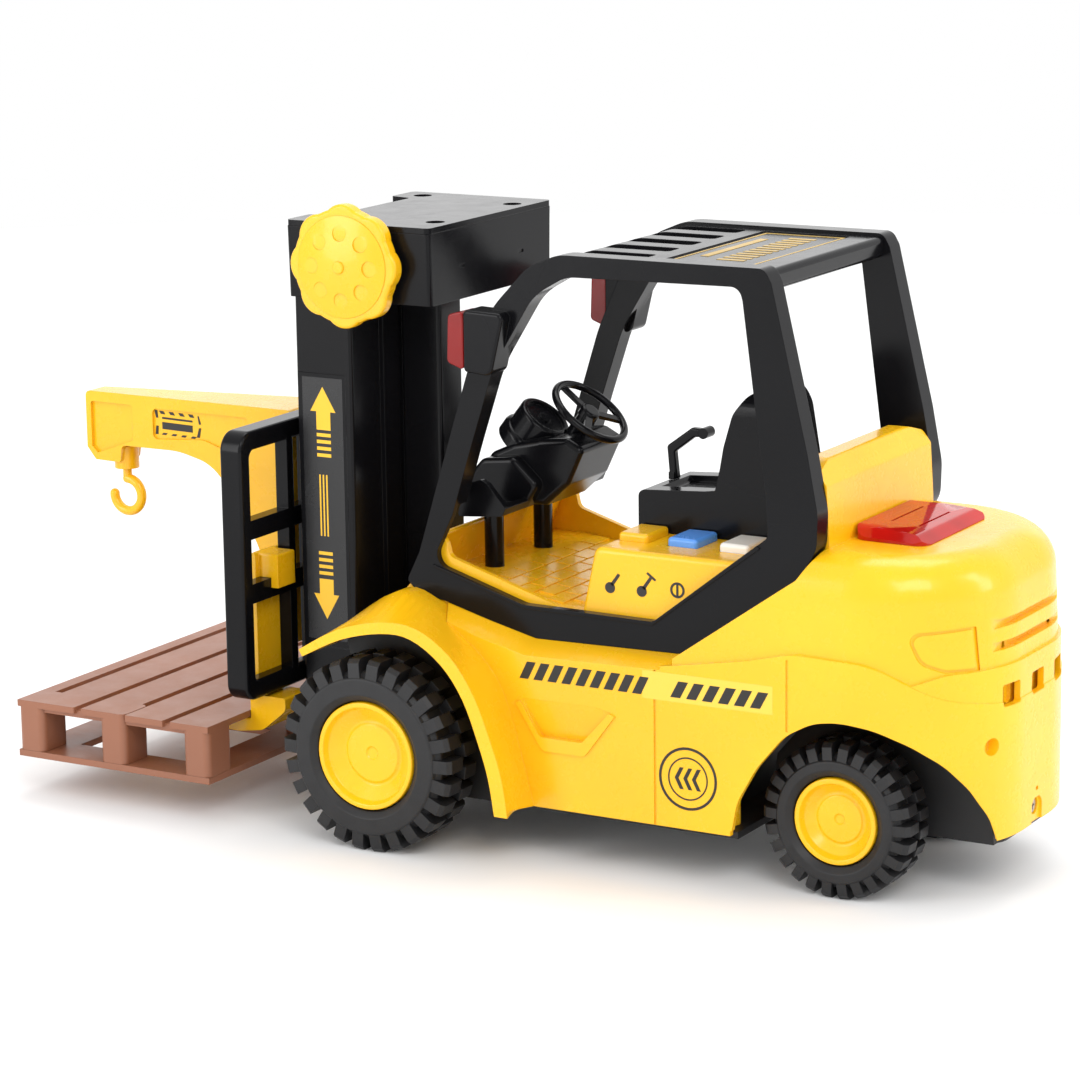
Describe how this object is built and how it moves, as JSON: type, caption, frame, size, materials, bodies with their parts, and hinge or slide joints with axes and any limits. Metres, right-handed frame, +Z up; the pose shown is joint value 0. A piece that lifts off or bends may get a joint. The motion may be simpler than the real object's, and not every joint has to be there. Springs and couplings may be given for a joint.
{
  "type": "toy forklift",
  "caption": "Toy counterbalance forklift with overhead guard, hand-wound mast, crane jib with hook, and a loose slatted pallet on its forks.",
  "frame": {"origin": "on the ground, below the middle of the overall length and width", "axes": "+X forward towards the forks, +Y to the truck's left, +Z up"},
  "size_m": [0.381, 0.15, 0.2194],
  "materials": {
    "body_yellow": "gloss, moulded",
    "black_gloss": "gloss, moulded",
    "chassis_black": "satin, moulded",
    "tyre_rubber": "matt",
    "pallet_brown": "satin, moulded",
    "red_clear": "clear red, polished",
    "button_blue": "gloss",
    "button_white": "gloss",
    "steel": "plated",
    "board_green": "lacquered",
    "cell_case": "gloss",
    "lamp_clear": "clear",
    "cord": "braided"
  },
  "bodies": {
    "truck": {"body_shell": "body_yellow", "chassis_base": "chassis_black", "body_screws": "steel", "battery_box": "chassis_black", "battery_cells": "cell_case", "battery_cover": "chassis_black", "battery_cover_screw": "steel", "sound_board": "board_green", "speaker": "chassis_black", "warning_light": "red_clear", "light_lamp": "lamp_clear", "guard_side_left": "black_gloss", "guard_side_right": "black_gloss", "roof_panel": "black_gloss", "lamp_lens_left": "red_clear", "lamp_lens_right": "red_clear", "dashboard": "black_gloss", "seat": "black_gloss", "hand_lever": "black_gloss", "mast_frame": "black_gloss", "mast_screws": "steel", "mast_head": "black_gloss", "mast_head_cover": "black_gloss", "head_screws": "steel", "lift_cord": "cord"},
    "front_wheels": {"front_axle": "steel", "front_rim_left": "body_yellow", "front_rim_right": "body_yellow", "front_tyre_left": "tyre_rubber", "front_tyre_right": "tyre_rubber"},
    "rear_wheels": {"rear_axle": "steel", "rear_rim_left": "body_yellow", "rear_rim_right": "body_yellow", "rear_tyre_left": "tyre_rubber", "rear_tyre_right": "tyre_rubber"},
    "steering": {"steering_wheel": "black_gloss"},
    "yellow_button": {"button_yellow": "body_yellow"},
    "blue_button": {"button_blue": "button_blue"},
    "white_button": {"button_white": "button_white"},
    "knob": {"lift_knob": "body_yellow", "knob_shaft": "steel", "lift_spool": "button_white"},
    "carriage": {"carriage_slider": "black_gloss", "backrest": "black_gloss", "fork_left": "body_yellow", "fork_right": "body_yellow", "jib_arm": "body_yellow"},
    "hook": {"crane_hook": "body_yellow"},
    "pallet": {"pallet_deck": "pallet_brown", "pallet_base": "pallet_brown"}
  },
  "joints": [
    {"name": "front_axle_spin", "type": "hinge", "parent": "truck", "child": "front_wheels", "pos_m": [0.0255, 0, 0.034], "axis": [0, 1, 0], "continuous": true},
    {"name": "rear_axle_spin", "type": "hinge", "parent": "truck", "child": "rear_wheels", "pos_m": [-0.139, 0, 0.0265], "axis": [0, 1, 0], "continuous": true},
    {"name": "steering_turn", "type": "hinge", "parent": "truck", "child": "steering", "pos_m": [-0.0228, 0, 0.1453], "axis": [-0.6157, 0, 0.788], "continuous": true},
    {"name": "yellow_button_press", "type": "slide", "parent": "truck", "child": "yellow_button", "axis": [0, 0, -1], "range_m": [0, 0.0015], "stiffness_N_per_m": 400, "springref_m": -0.0006},
    {"name": "blue_button_press", "type": "slide", "parent": "truck", "child": "blue_button", "axis": [0, 0, -1], "range_m": [0, 0.0015], "stiffness_N_per_m": 400, "springref_m": -0.0006},
    {"name": "white_button_press", "type": "slide", "parent": "truck", "child": "white_button", "axis": [0, 0, -1], "range_m": [0, 0.0015], "stiffness_N_per_m": 400, "springref_m": -0.0006},
    {"name": "carriage_lift", "type": "slide", "parent": "truck", "child": "carriage", "axis": [0, 0, 1], "range_m": [-0.0135, 0.062], "deforming": ["lift_cord"]},
    {"name": "knob_turn", "type": "hinge", "parent": "truck", "child": "knob", "pos_m": [0.0465, 0, 0.198], "axis": [0, 1, 0], "range_deg": [-413.56, 90.44]},
    {"name": "hook_swivel", "type": "hinge", "parent": "carriage", "child": "hook", "pos_m": [0.176, 0, 0.105], "axis": [0, 0, 1], "continuous": true},
    {"name": "pallet_off_forks", "type": "slide", "parent": "carriage", "child": "pallet", "axis": [1, 0, 0], "range_m": [0, 0.09]}
  ],
  "couplings": [
    {"joint": "knob_turn", "follows": "carriage_lift", "rad_per_m": -116.28}
  ]
}
